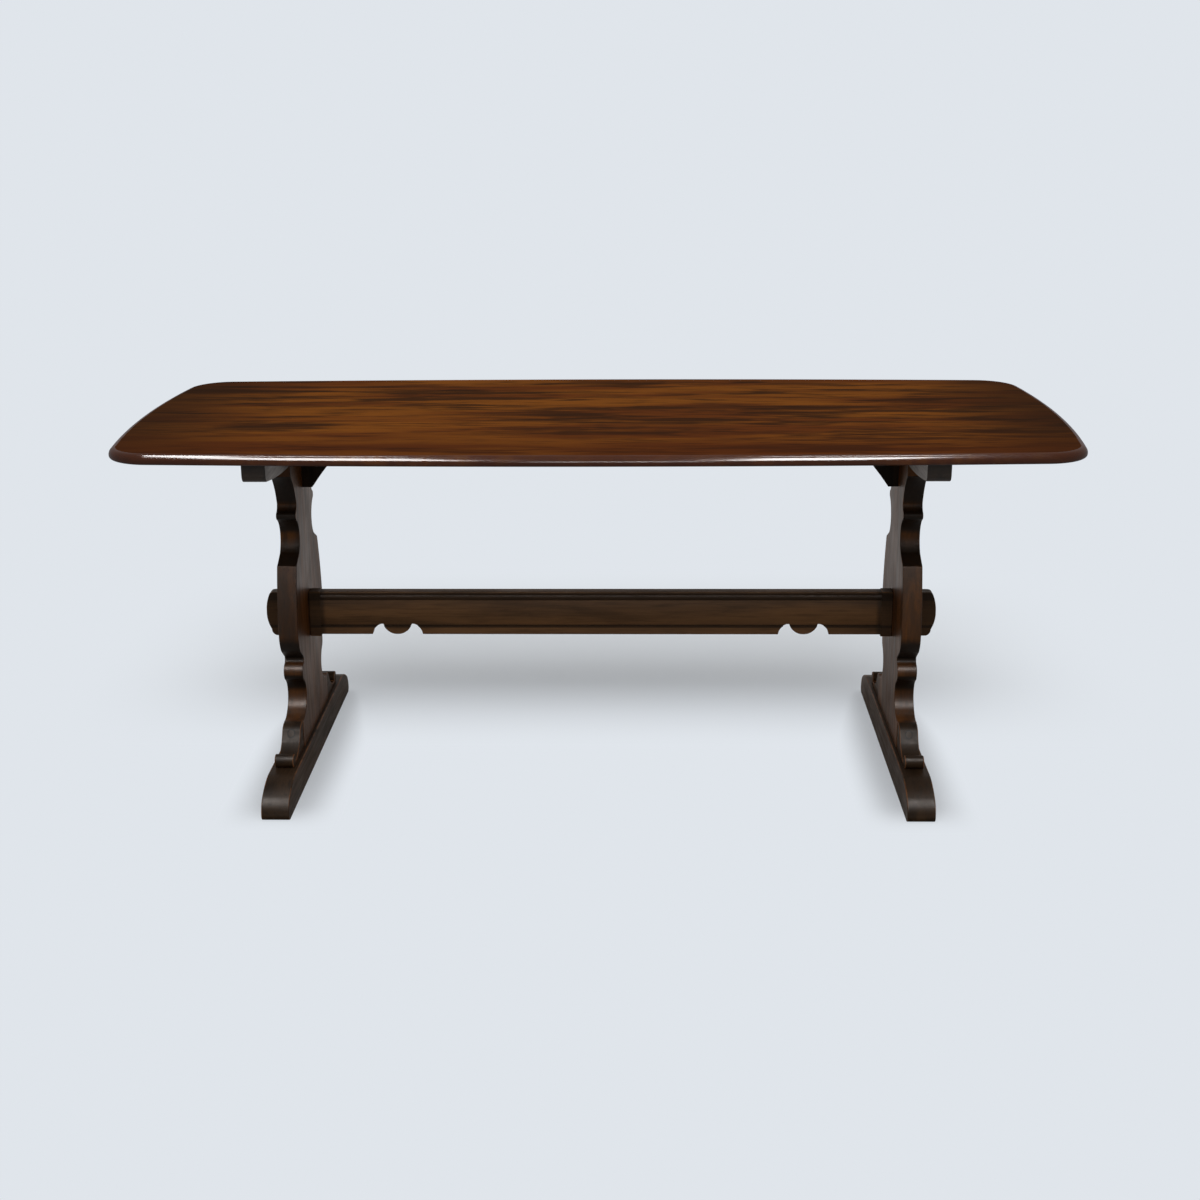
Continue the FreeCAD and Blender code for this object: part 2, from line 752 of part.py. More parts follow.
# Screws
def make_screw(name, length):
    """Build a slotted countersunk screw that points up from its head."""
    body = make_body(name)
    shank_end = length - size["screw_tip_length"]
    outline = [(x, z, "corner") for x, z in (
        (NONE, NONE),
        (size["screw_head_radius"], NONE),
        (size["screw_shank_radius"], size["screw_head_height"]),
        (size["screw_shank_radius"], shank_end),
        (size["screw_point_radius"], length),
        (NONE, length),
    )]
    sketch = make_sketch(body, f"{name}_outline", "XZ_Plane")
    draw_outline(sketch, outline)
    turned = body.newObject("PartDesign::Revolution", f"{name}_turned")
    turned.Profile = sketch
    turned.ReferenceAxis = (sketch, ["V_Axis"])
    turned.Angle = 360
    finish_feature(body, turned)
    slot = rectangle(-size["screw_head_radius"], size["screw_head_radius"],
                     -size["screw_slot_depth"], size["screw_slot_depth"])
    add_profile(body, "Pocket", f"{name}_slot", "XZ_Plane", slot, size["screw_slot_width"])
    return body


def make_top_screws():
    """Build the screws that run up through the bearers and knee brackets into the top."""
    length = size["top_screw_grip"] + size["top_screw_bite"]
    bearer_screws = []
    knee_screws = []
    for side in SIDE_SIGNS:
        for number, share in enumerate(BEARER_SCREW_SHARES, start=1):
            screw = make_screw(f"bearer_screw_{side}_{number}", length)
            spot = on_trestle(side, NONE, bearer_half_length * share, top_screw_seat)
            bearer_screws.append(place(screw, spot))
        screw = make_screw(f"knee_screw_{side}", length)
        knee_screws.append(place(screw, on_trestle(side, knee_screw_place, NONE, top_screw_seat)))
    PIECES["bearer_screws"] = make_group("bearer_screws", bearer_screws)
    PIECES["knee_screws"] = make_group("knee_screws", knee_screws)


# Cheeks on the feet
def make_cheek_pieces():
    """Build the four cheeks, and the screw and the plug in each."""
    block = make_body("cheek_block")
    outline = scaled(CHEEK_SHARES, size["cheek_reach"], size["cheek_height"],
                     size["upright_half_width"], size["foot_height"])
    add_profile(block, "Pad", "cheek_profile", "YZ_Plane", outline, size["cheek_thickness"])
    seat = (NONE, cheek_screw_seat, cheek_screw_level)
    outwards = HALF_TURN * AGAINST_Y
    plug_rod = make_rod("plug_rod", seat, outwards, size["plug_radius"], size["cheek_reach"])
    hole = make_rod("cheek_hole", seat, AGAINST_Y, hole_radius, size["cheek_screw_grip"])
    sink = doc.addObject("Part::Cone", "cheek_countersink")
    set_sizes(sink, {"Radius1": size["screw_head_radius"], "Radius2": size["screw_shank_radius"],
                     "Height": size["screw_head_height"]})
    place(sink, seat, AGAINST_Y)
    drill = make_group("cheek_drill", [plug_rod, hole, sink])
    plugs = []
    screws = []
    for side, side_sign in SIDE_SIGNS.items():
        for end, end_sign in END_SIGNS.items():
            label = f"cheek_{end}_{side}"
            spot = (trestle_offset * side_sign, NONE, NONE)
            turn = UPWARDS if end == "back" else HALF_TURN
            cheek = doc.addObject("Part::Cut", label)
            cheek.Label = label
            cheek.Base = block
            cheek.Tool = drill
            PIECES[label] = place(cheek, spot, turn)
            plug = doc.addObject("Part::Common", f"{label}_plug")
            plug.Base = block
            plug.Tool = plug_rod
            plugs.append(place(plug, spot, turn))
            screw = make_screw(f"{label}_screw", size["cheek_screw_grip"] + size["cheek_screw_bite"])
            screws.append(place(screw, (spot[0], cheek_screw_seat * end_sign, cheek_screw_level),
                                turn * AGAINST_Y))
    PIECES["cheek_plugs"] = make_group("cheek_plugs", plugs)
    PIECES["cheek_screws"] = make_group("cheek_screws", screws)


# Stretcher
def make_stretcher():
    """Build the stretcher: moulded, scalloped, with shoulders and through tenons."""
    label = "stretcher"
    body = make_body(label)
    shoulder_end = trestle_offset - inner_face
    shoulder_start = shoulder_end - size["shoulder_length"]
    outside = trestle_offset + inner_face
    half = scaled(MOULDING_SHARES, size["stretcher_thickness"] * 0.5, size["stretcher_depth"],
                  NONE, stretcher_bottom)
    add_profile(body, "Pad", "stretcher_moulding", "YZ_Plane", half + mirrored(half),
                shoulder_start * 2)
    scallop = scaled(SCALLOP_SHARES, size["scallop_half_width"], size["scallop_depth"])
    scallop.append((size["scallop_half_width"], -size["cut_overrun"], "corner"))
    scallop.append((-size["scallop_half_width"], -size["cut_overrun"], "corner"))
    for side, sign in SIDE_SIGNS.items():
        middle = (trestle_offset - size["scallop_inset"]) * sign
        outline = [(middle + x, stretcher_bottom + y, kind) for x, y, kind in scallop]
        add_profile(body, "Pocket", f"stretcher_scallop_{side}", "XZ_Plane", outline,
                    size["stretcher_thickness"])
    shoulder = rectangle(shoulder_start, shoulder_end, shoulder_bottom, shoulder_top)
    tenon = scaled(TENON_END_SHARES, size["tenon_reach"], tenon_top - tenon_bottom,
                   outside, tenon_bottom)
    tenon[0] = (shoulder_end, tenon_top, "corner")
    tenon[-1] = (shoulder_end, tenon_bottom, "corner")
    for side, turned in (("left", mirrored), ("right", list)):
        add_profile(body, "Pad", f"stretcher_shoulder_{side}", "XZ_Plane", turned(shoulder),
                    size["stretcher_thickness"])
        add_profile(body, "Pad", f"stretcher_tenon_{side}", "XZ_Plane", turned(tenon),
                    size["tenon_thickness"])
    PIECES[label] = body


# Finish
def check_and_export():
    """Stop when any object failed, and write each piece to its own file."""
    doc.recompute()
    for item in doc.Objects:
        if "Invalid" in item.State or "Error" in item.State:
            raise RuntimeError(f"{item.Label} failed")
    for label, piece in PIECES.items():
        if piece.Shape.isNull() or not piece.Shape.isValid():
            raise RuntimeError(f"{label} has no valid shape")
    for label, piece in PIECES.items():
        piece.Shape.exportStep(os.path.join("parts", f"{label}.step"))


PIECES = {}
make_boards(make_top_blank())
make_stretcher()
for trestle_side in SIDE_SIGNS:
    make_upright(trestle_side)
    make_bearer(trestle_side)
    make_foot(trestle_side)
    make_knee_bracket(trestle_side)
make_knee_dowels()
make_wedges()
make_top_screws()
make_cheek_pieces()
check_and_export()
for piece_label, built in PIECES.items():
    extent = built.Shape.BoundBox
    print(piece_label, len(built.Shape.Solids), round(built.Shape.Volume), extent)
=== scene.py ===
"""Trestle dining table in dark varnished wood: finishes, light and camera.

Everything is in metres, in the table's frame: +X along the top, +Y to the
back, +Z up, with the origin on the floor under the middle of the top.
"""
import math

import bmesh
import bpy
from mathutils import Matrix, Vector


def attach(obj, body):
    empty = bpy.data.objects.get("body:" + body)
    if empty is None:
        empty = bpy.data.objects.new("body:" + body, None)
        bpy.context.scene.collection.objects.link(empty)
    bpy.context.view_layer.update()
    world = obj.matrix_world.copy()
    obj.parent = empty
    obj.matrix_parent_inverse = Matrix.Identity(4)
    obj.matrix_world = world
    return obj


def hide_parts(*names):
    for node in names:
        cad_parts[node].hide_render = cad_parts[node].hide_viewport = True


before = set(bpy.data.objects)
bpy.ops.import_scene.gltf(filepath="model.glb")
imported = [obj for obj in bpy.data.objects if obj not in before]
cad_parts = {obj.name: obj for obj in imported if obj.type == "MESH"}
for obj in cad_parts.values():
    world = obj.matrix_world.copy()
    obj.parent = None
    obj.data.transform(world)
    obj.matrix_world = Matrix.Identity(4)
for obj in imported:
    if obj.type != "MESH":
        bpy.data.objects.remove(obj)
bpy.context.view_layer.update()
bpy.context.scene.view_settings.view_transform = "Standard"


def extent(node):
    """Return the lowest and the highest corner of a node's box."""
    places = [vertex.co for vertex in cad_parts[node].data.vertices]
    return (Vector([min(place[axis] for place in places) for axis in range(3)]),
            Vector([max(place[axis] for place in places) for axis in range(3)]))


# Levels and places of the solids that the finishes follow, read from the frame
FLOOR_LEVEL, FOOT_TOP = (corner.z for corner in extent("foot_right"))
TOP_HALF_LENGTH = extent("top_board_middle")[1].x
TOP_HALF_WIDTH = extent("top_board_back")[1].y
TOP_LEVEL = extent("top_board_back")[1].z
TOP_UNDERSIDE = extent("top_board_back")[0].z
BEARER_UNDERSIDE = extent("bearer_right")[0].z
TRESTLE_INNER = extent("bearer_right")[0].x
TRESTLE_MIDDLE = (extent("foot_right")[0].x + extent("foot_right")[1].x) / 2
TRESTLE_OUTER = TRESTLE_MIDDLE * 2 - TRESTLE_INNER
UPRIGHT_HEIGHT = BEARER_UNDERSIDE - FOOT_TOP
CHEEK_BACK = extent("cheek_back_right")[0].y
PLUG_LEVEL = (extent("cheek_plugs")[0].z + extent("cheek_plugs")[1].z) / 2
PLUG_RADIUS = (extent("cheek_plugs")[1].z - extent("cheek_plugs")[0].z) / 2
STRETCHER_BOTTOM, STRETCHER_TOP = (corner.z for corner in extent("stretcher"))
STRETCHER_DEPTH = STRETCHER_TOP - STRETCHER_BOTTOM

# Radii of the top's outline and of its rounded edge, and its boards, as in the solids
SIDE_BOW = 17.8
END_BOW = 2.48
CORNER = 0.089
UPPER_ROUNDING = 0.013
LOWER_ROUNDING = 0.005
BOARD_COUNT = 5
BOARD_WIDTH = TOP_HALF_WIDTH * 2 / BOARD_COUNT

# Joints: the stretcher's tenon, an upright's stub tenons and a knee bracket's screw hole
TENON_HALF_THICKNESS = 0.012
STUB_HALF_THICKNESS = 0.0065
STUB_REACH = 0.088
KNEE_HOLE_RADIUS = 0.0065

# How near a point counts as on a face, and how near two corners count as one
EDGE = 0.0005
SAME_CORNER = 2e-6

# Angles between two faces: joined below the first, rounded above the second
# and smoothly shaded below the third
NEARLY_FLAT = math.radians(0.4)
SHARP = math.radians(28)
SMOOTH = math.radians(32)

# The mesh of the top's rounded edge: the largest turn along an edge of it, how
# often its edges are halved, and the limits of its faces' normals, by their Z
# and by their dot product with the exact normal
RIM_TURN = math.radians(5)
RIM_ROUNDS = 7
LEVEL_NORMAL = 0.9995
FACING_OUT = 0.4

# Widths of the rounded arrises and of the dark joint lines
STRETCHER_ARRIS = 0.0012
CHEEK_ARRIS = 0.0014
TRESTLE_ARRIS = 0.0016
FOOT_ARRIS = 0.0020
JOINT_LINE = 0.0012
CHEEK_JOINT_LINE = 0.0010

# Painted shade above an upright's cusps, where the lobes curve under: bands from start to end in
# shares of its height, how sharply each band starts, and its fade before and after its end
SHADED_CUSPS = ((0.290, 0.350), (0.645, 0.715), (0.795, 0.850))
CUSP_START = 0.004
CUSP_FADE = (0.030, 0.015)

# Painted shade in the stretcher's mouldings, from start to end in shares of
# its depth and with its strength, the bands' softness, and the painted shade
# close to an upright, by how far off it starts and is full
SHADED_MOULDINGS = ((0.80, 0.965, 0.75), (0.19, 0.25, 0.80))
MOULDING_SOFTNESS = 0.01
SHADE_BY_UPRIGHT = (0.036, 0.026)

# The top darkens over these places of X, and in front of these of Y is redder and has painted shade
DARK_ENDS = (0.58, 0.90)
RED_SHADED_FRONT = (-0.37, -0.10)

# The dark ring round a plug: how far off its edge it is full, and has faded
RING_FULL = 0.0008
RING_FADED = 0.0018


# Dressing the pieces
def away_from_axis(point):
    """Return how far a point is from the axis of the plug nearest to it."""
    return math.hypot(abs(point.x) - TRESTLE_MIDDLE, point.z - PLUG_LEVEL)


def arris_test(node):
    """Return a test for the arrises that a maker rounds off, away from the joints.

    A joint's own edges stay crisp: tenons, mortises, screw holes, and the
    edges where a piece stands on or under another.
    """
    def upright(point):
        in_mortise = abs(point.y) < TENON_HALF_THICKNESS + EDGE
        return FOOT_TOP + EDGE < point.z < BEARER_UNDERSIDE - EDGE and not in_mortise

    def bearer(point):
        in_hole = abs(abs(point.x) - TRESTLE_MIDDLE) < TRESTLE_MIDDLE - TRESTLE_INNER - EDGE
        return point.z < TOP_UNDERSIDE - EDGE and not in_hole

    def foot(point):
        across = abs(abs(point.x) - TRESTLE_MIDDLE)
        in_mortise = abs(point.y) < STUB_REACH + EDGE and across < STUB_HALF_THICKNESS + EDGE
        return point.z > FLOOR_LEVEL + EDGE and not in_mortise

    def knee(point):
        in_hole = abs(point.y) < KNEE_HOLE_RADIUS + EDGE
        on_upright = abs(point.x) > TRESTLE_INNER - EDGE
        return point.z < TOP_UNDERSIDE - EDGE and not on_upright and not in_hole

    def cheek(point):
        in_hole = away_from_axis(point) < PLUG_RADIUS + EDGE
        return point.z > FOOT_TOP + EDGE and abs(point.y) > CHEEK_BACK + EDGE and not in_hole

    def stretcher(point):
        at_brim = min(STRETCHER_TOP - point.z, point.z - STRETCHER_BOTTOM) < EDGE
        along = abs(point.x)
        return along > TRESTLE_OUTER + EDGE or (at_brim and along < TRESTLE_INNER - EDGE)

    tests = {"upright": upright, "bearer": bearer, "foot": foot, "knee": knee,
             "cheek": cheek, "stretcher": stretcher}
    return tests[node.split("_")[0]]


def joint_line_and_shade_test(node):
    """Return a test for the edges that show as a dark line where two pieces meet."""
    def upright(point):
        # at the foot's top the dark line is a joint line and also painted contact shade
        return abs(point.z - FOOT_TOP) < EDGE and abs(point.y) > STUB_REACH + EDGE

    def cheek(point):
        at_back = abs(abs(point.y) - CHEEK_BACK) < EDGE and away_from_axis(point) > PLUG_RADIUS
        # at the foot's top the dark line is a joint line and also painted contact shade
        return at_back or abs(point.z - FOOT_TOP) < EDGE

    def stretcher(point):
        return abs(abs(point.x) - TRESTLE_INNER) < EDGE

    return {"upright": upright, "cheek": cheek, "stretcher": stretcher}[node.split("_")[0]]


def round_edges(shape, layer, wanted, width, mark, segments):
    """Round off the sharp edges that pass a test, and mark the new faces."""
    sharp = [edge for edge in shape.edges
             if len(edge.link_faces) == 2 and edge.calc_face_angle() > SHARP
             and wanted((edge.verts[0].co + edge.verts[1].co) / 2)]
    rounded = bmesh.ops.bevel(shape, geom=sharp, offset=width, segments=segments, profile=0.5,
                              affect="EDGES", clamp_overlap=False)
    for face in rounded["faces"]:
        face[layer] = mark


def arcs_of_outline():
    """Return the centres and radii of the side, end and corner arcs of a quarter of the top.

    The corner's centre lies where two circles meet, about the centres of the
    side and of the end, each smaller than its bow by the corner's radius.
    """
    side = Vector((0, TOP_HALF_WIDTH - SIDE_BOW))
    end = Vector((TOP_HALF_LENGTH - END_BOW, 0))
    toward = (end - side).normalized()
    apart = (end - side).length
    along = ((SIDE_BOW - CORNER) ** 2 - (END_BOW - CORNER) ** 2 + apart ** 2) / (2 * apart)
    across = math.sqrt((SIDE_BOW - CORNER) ** 2 - along ** 2)
    corner = side + toward * along + Vector((toward.y, -toward.x)) * across
    return (side, SIDE_BOW), (end, END_BOW), (corner, CORNER)


SIDE_ARC, END_ARC, CORNER_ARC = arcs_of_outline()


def on_rounding(place):
    """Return the nearest point on the top's rounded edge, the normal there and the inset.

    In plan the arc whose sector holds the place gives its inset from the
    outline. In section the edge is an upper arc, a flat and a lower arc, and
    the place moves from the arc's centre straight out to its radius.
    """
    spot = Vector((abs(place.x), abs(place.y)))
    corner = CORNER_ARC[0]
    centre, bow = CORNER_ARC
    if spot.x * (corner.y - SIDE_ARC[0].y) <= corner.x * (spot.y - SIDE_ARC[0].y):
        centre, bow = SIDE_ARC
    elif spot.y * (corner.x - END_ARC[0].x) <= corner.y * (spot.x - END_ARC[0].x):
        centre, bow = END_ARC
    inset = bow - (spot - centre).length
    out = (spot - centre).normalized()
    out = Vector((math.copysign(out.x, place.x), math.copysign(out.y, place.y), 0))
    above = place.z - TOP_LEVEL + UPPER_ROUNDING
    below = TOP_UNDERSIDE + LOWER_ROUNDING - place.z
    side, rise, radius = 1, max(0.0, above), UPPER_ROUNDING
    if below > 0:
        side, rise, radius = -1, below, LOWER_ROUNDING
    section = Vector((radius - inset, rise)).normalized()
    level = Vector((0, 0, side))
    normal = out * section.x + level * section.y
    moved = out * (section.x * radius - radius + inset) + level * (section.y * radius - rise)
    return place + moved, normal, inset


def on_rim(face):
    """Tell whether a face of a top board belongs to the rounded edge of the top."""
    _, normal, inset = on_rounding(face.calc_center_median())
    in_section = inset < UPPER_ROUNDING + EDGE and abs(face.normal.z) < LEVEL_NORMAL
    return in_section and face.normal.dot(normal) > FACING_OUT


def refine_rim(shape):
    """Halve the edges that cut across the top's rounded edge, onto its arcs.

    This goes on as long as the exact normals at the ends of an edge differ by
    more than RIM_TURN.
    """
    for _ in range(RIM_ROUNDS):
        shape.normal_update()
        rim = {face for face in shape.faces if on_rim(face)}
        wide = []
        for edge in shape.edges:
            if any(face in rim for face in edge.link_faces):
                first, second = (on_rounding(vertex.co)[1] for vertex in edge.verts)
                if first.angle(second) > RIM_TURN:
                    wide.append(edge)
        if not wide:
            return
        cut = bmesh.ops.subdivide_edges(shape, edges=wide, cuts=1)
        for item in cut["geom_inner"]:
            if isinstance(item, bmesh.types.BMVert):
                item.co = on_rounding(item.co)[0]
        bmesh.ops.triangulate(shape, faces=[face for face in shape.faces if len(face.verts) > 3])


def smooth_rim(mesh):
    """Give a board the exact normals of its rounded edge, and flat ones elsewhere."""
    trim = mesh.attributes["trim"].data
    normals = []
    for face in mesh.polygons:
        for corner in face.vertices:
            if trim[face.index].value > 0.5:
                normals.append(on_rounding(mesh.vertices[corner].co)[1])
            else:
                normals.append(face.normal.copy())
    mesh.normals_split_custom_set(normals)


def dress(node, material, arris=0.0, seam=0.0):
    """Stand a smooth copy of a node in its place, with its edges eased.

    Faces that are nearly flat to each other are joined, except on the boards
    of the top. Each sharp edge away from the joints is rounded to about arris,
    with the attribute trim at 1 there, and each visible joint edge to about
    seam, with trim at -1. On a board of the top, trim is 1 where the edge is
    rounded. It is 0 everywhere else.
    """
    mesh = bpy.data.meshes.new(f"{node}_finished")
    shape = bmesh.new()
    shape.from_mesh(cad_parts[node].data)
    bmesh.ops.remove_doubles(shape, verts=shape.verts, dist=SAME_CORNER)
    is_board = node.startswith("top_board")
    if not is_board:
        bmesh.ops.dissolve_limit(shape, angle_limit=NEARLY_FLAT, verts=shape.verts,
                                 edges=shape.edges)
    trim = shape.faces.layers.float.new("trim")
    if seam > 0:
        round_edges(shape, trim, joint_line_and_shade_test(node), seam, mark=-1.0, segments=1)
    if arris > 0:
        round_edges(shape, trim, arris_test(node), arris, mark=1.0, segments=3)
    if is_board:
        refine_rim(shape)
        for face in shape.faces:
            face[trim] = 1.0 if on_rim(face) else 0.0
    for face in shape.faces:
        face.smooth = True
    for edge in shape.edges:
        edge.smooth = len(edge.link_faces) == 2 and edge.calc_face_angle() < SMOOTH
    shape.to_mesh(mesh)
    shape.free()
    if is_board:
        smooth_rim(mesh)
    piece = bpy.data.objects.new(f"{node}_finished", mesh)
    bpy.context.scene.collection.objects.link(piece)
    mesh.materials.append(material)
    if not is_board:
        flat = piece.modifiers.new("flat_faces", "WEIGHTED_NORMAL")
        flat.keep_sharp = True
    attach(piece, "root")
    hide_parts(node)


# Shader building
def join(tree, start, end):
    """Link two sockets."""
    tree.links.new(start, end)


def value_of(tree, operation, first, second=None, clamp=False):
    """Work out a sum, product or other operation on sockets or numbers."""
    node = tree.nodes.new("ShaderNodeMath")
    node.operation = operation
    node.use_clamp = clamp
    for socket, source in zip(node.inputs, (first, second)):
        if source is None:
            continue
        if isinstance(source, (int, float)):
            socket.default_value = source
        else:
            join(tree, source, socket)
    return node.outputs["Value"]


def between(tree, source, low, high, out_low=0.0, out_high=1.0):
    """Map a range of a socket smoothly to another range."""
    node = tree.nodes.new("ShaderNodeMapRange")
    node.interpolation_type = "SMOOTHSTEP"
    join(tree, source, node.inputs["Value"])
    node.inputs["From Min"].default_value = low
    node.inputs["From Max"].default_value = high
    node.inputs["To Min"].default_value = out_low
    node.inputs["To Max"].default_value = out_high
    return node.outputs["Result"]


def band(tree, source, rise, fall, strength=1.0):
    """Draw a band of a socket: from 0 up to strength over the range rise, and back over fall."""
    return value_of(tree, "MULTIPLY", between(tree, source, *rise),
                    between(tree, source, *fall, strength, 0.0))


def mixed(tree, factor, first, second):
    """Mix two colours, given as sockets or as linear colours."""
    node = tree.nodes.new("ShaderNodeMix")
    node.data_type = "RGBA"
    for socket, source in ((node.inputs["Factor"], factor), (node.inputs[6], first),
                           (node.inputs[7], second)):
        if isinstance(source, tuple):
            socket.default_value = (*source, 1.0)
        else:
            join(tree, source, socket)
    return node.outputs[2]


def separated(tree, vector):
    """Return the X, Y and Z of a vector."""
    node = tree.nodes.new("ShaderNodeSeparateXYZ")
    join(tree, vector, node.inputs[0])
    return node.outputs


def stretched(tree, vector, along, across, deep):
    """Scale a vector: along the grain, across it, and in depth."""
    node = tree.nodes.new("ShaderNodeMapping")
    node.inputs["Scale"].default_value = (along, across, deep)
    join(tree, vector, node.inputs["Vector"])
    return node.outputs["Vector"]


def noise(tree, vector, scale=1.0, detail=3.0, roughness=0.55, distortion=0.0, four=None):
    """Return the value of a noise texture, in four dimensions where four is given."""
    node = tree.nodes.new("ShaderNodeTexNoise")
    node.noise_dimensions = "4D" if four is not None else "3D"
    node.inputs["Scale"].default_value = scale
    node.inputs["Detail"].default_value = detail
    node.inputs["Roughness"].default_value = roughness
    node.inputs["Distortion"].default_value = distortion
    join(tree, vector, node.inputs["Vector"])
    if four is not None:
        join(tree, four, node.inputs["W"])
    return node.outputs["Fac"]


def new_group(name, inputs, outputs):
    """Start a node group with named inputs (name, kind, value) and outputs (name, kind)."""
    tree = bpy.data.node_groups.new(name, "ShaderNodeTree")
    for label, kind, value in inputs:
        socket = tree.interface.new_socket(label, in_out="INPUT", socket_type=kind)
        if value is not None:
            socket.default_value = value
    for label, kind in outputs:
        tree.interface.new_socket(label, in_out="OUTPUT", socket_type=kind)
    start = tree.nodes.new("NodeGroupInput")
    end = tree.nodes.new("NodeGroupOutput")
    return tree, start.outputs, end.inputs


FLOAT = "NodeSocketFloat"
COLOR = "NodeSocketColor"
VECTOR = "NodeSocketVector"
BLACK = (0, 0, 0, 1)


def bent_grain(tree, vector, shift):
    """Bend straight grain: add a slow noise of the vector to its Y, up to 20 mm."""
    bend = noise(tree, stretched(tree, vector, 2.2, 7.0, 7.0), detail=2.0, four=shift)
    offset = tree.nodes.new("ShaderNodeCombineXYZ")
    join(tree, value_of(tree, "MULTIPLY", bend, 0.020), offset.inputs["Y"])
    bent = tree.nodes.new("ShaderNodeVectorMath")
    bent.operation = "ADD"
    join(tree, vector, bent.inputs[0])
    join(tree, offset.outputs[0], bent.inputs[1])
    return bent.outputs[0]


def make_streaked_figure():
    """Dark lens-shaped streaks over red and orange brown wood.

    The grain runs along X. A slow noise moves the colour between the two
    browns. Two noises, stretched about 7 and 10 times along the grain and cut
    to ramps, draw broad and fine streaks, and long thin noises add the grain
    lines and the pores. Dull rises from 0 to 1 along the grain lines.
    """
    tree, given, result = new_group(
        "streaked_figure",
        [("Vector", VECTOR, None), ("Shift", FLOAT, 0.0), ("Contrast", FLOAT, 1.0),
         ("Deep", COLOR, BLACK), ("Red", COLOR, BLACK), ("Orange", COLOR, BLACK)],
        [("Color", COLOR), ("Height", FLOAT), ("Dull", FLOAT)])
    shift = given["Shift"]
    contrast = given["Contrast"]
    deep = given["Deep"]
    flow = bent_grain(tree, given["Vector"], shift)
    slow = noise(tree, stretched(tree, flow, 1.8, 11.0, 11.0), detail=2.0, four=shift)
    broad = noise(tree, stretched(tree, flow, 5.0, 34.0, 34.0), distortion=0.4, four=shift)
    fine = noise(tree, stretched(tree, flow, 10.0, 105.0, 105.0),
                 four=value_of(tree, "ADD", shift, 7.0))
    here = noise(tree, stretched(tree, flow, 1.5, 5.0, 5.0), detail=1.0,
                 four=value_of(tree, "ADD", shift, 13.0))
    lines = noise(tree, stretched(tree, flow, 9.0, 420.0, 420.0), roughness=0.6, four=shift)
    pores = noise(tree, stretched(tree, flow, 45.0, 1700.0, 1700.0), detail=1.0, four=shift)
    patch = value_of(tree, "ADD", broad, between(tree, here, 0.35, 0.65, -0.07, 0.07))
    broad_mask = value_of(tree, "MULTIPLY", between(tree, patch, 0.46, 0.66, 0.0, 0.95), contrast)
    fine_mask = value_of(tree, "MULTIPLY", between(tree, fine, 0.50, 0.70, 0.0, 0.75), contrast)
    colour = mixed(tree, between(tree, slow, 0.38, 0.60), given["Red"], given["Orange"])
    for mask in (broad_mask, fine_mask, between(tree, lines, 0.42, 0.72, 0.0, 0.32),
                 between(tree, pores, 0.60, 0.74, 0.0, 0.25)):
        colour = mixed(tree, mask, colour, deep)
    join(tree, colour, result["Color"])
    half_lines = value_of(tree, "MULTIPLY", lines, 0.5)
    height = value_of(tree, "SUBTRACT", half_lines, between(tree, pores, 0.58, 0.74, 0.0, 0.6))
    join(tree, height, result["Height"])
    strands = value_of(tree, "ADD", half_lines, value_of(tree, "MULTIPLY", fine, 0.5))
    join(tree, between(tree, strands, 0.40, 0.60), result["Dull"])
    return tree


def make_edge_wear():
    """Stain rubbed off the rounded arrises in patches, and dark joint lines.

    The attribute trim is 1 on arrises and -1 at joints. The mask is its
    positive part times a noise cut to a ramp, the seam its negative part,
    and the polish its positive part.
    """
    tree, given, result = new_group(
        "edge_wear",
        [("Vector", VECTOR, None), ("Amount", FLOAT, 0.5)],
        [("Mask", FLOAT), ("Seam", FLOAT), ("Polish", FLOAT)])
    attribute = tree.nodes.new("ShaderNodeAttribute")
    attribute.attribute_name = "trim"
    trim = attribute.outputs["Fac"]
    patches = noise(tree, given["Vector"], scale=26.0, detail=4.0, roughness=0.65)
    spread = between(tree, value_of(tree, "ADD", patches, given["Amount"]), 0.80, 1.15)
    rubbed = between(tree, trim, 0.25, 0.95)
    join(tree, value_of(tree, "MULTIPLY", rubbed, spread, clamp=True), result["Mask"])
    join(tree, between(tree, value_of(tree, "MULTIPLY", trim, -1.0), 0.25, 0.95), result["Seam"])
    join(tree, rubbed, result["Polish"])
    return tree


streaked_figure = make_streaked_figure()
edge_wear = make_edge_wear()


def place_group(tree, group, vector):
    """Place a node group in a material and give it its vector."""
    node = tree.nodes.new("ShaderNodeGroup")
    node.node_tree = group
    join(tree, vector, node.inputs["Vector"])
    return node


def start_material(name):
    """Start a material and return its tree, its main shader and its object coordinates."""
    material = bpy.data.materials.new(name)
    material.use_nodes = True
    tree = material.node_tree
    shader = tree.nodes["Principled BSDF"]
    coordinates = tree.nodes.new("ShaderNodeTexCoord")
    return material, tree, shader, coordinates.outputs["Object"]


# Finishes of the wood and the steel
def board_number(tree, place):
    """Return the number of the top's board at a place, counted from 0 at the front."""
    from_front = value_of(tree, "ADD", separated(tree, place)["Y"], TOP_HALF_WIDTH)
    return value_of(tree, "FLOOR", value_of(tree, "DIVIDE", from_front, BOARD_WIDTH))


def shade_boards(tree, colour, place, palette):
    """Mix Deep towards both ends by X, and Worn in front by Y: a redder tone with painted shade."""
    axes = separated(tree, place)
    along = value_of(tree, "ABSOLUTE", axes["X"])
    to_ends = between(tree, along, *DARK_ENDS, 0.0, 0.78)
    # redder tone and painted shade along the front, where more light falls
    front_tone_and_shade = between(tree, axes["Y"], *RED_SHADED_FRONT, 0.55, 0.0)
    colour = mixed(tree, to_ends, colour, palette["Deep"])
    return mixed(tree, front_tone_and_shade, colour, palette["Worn"])


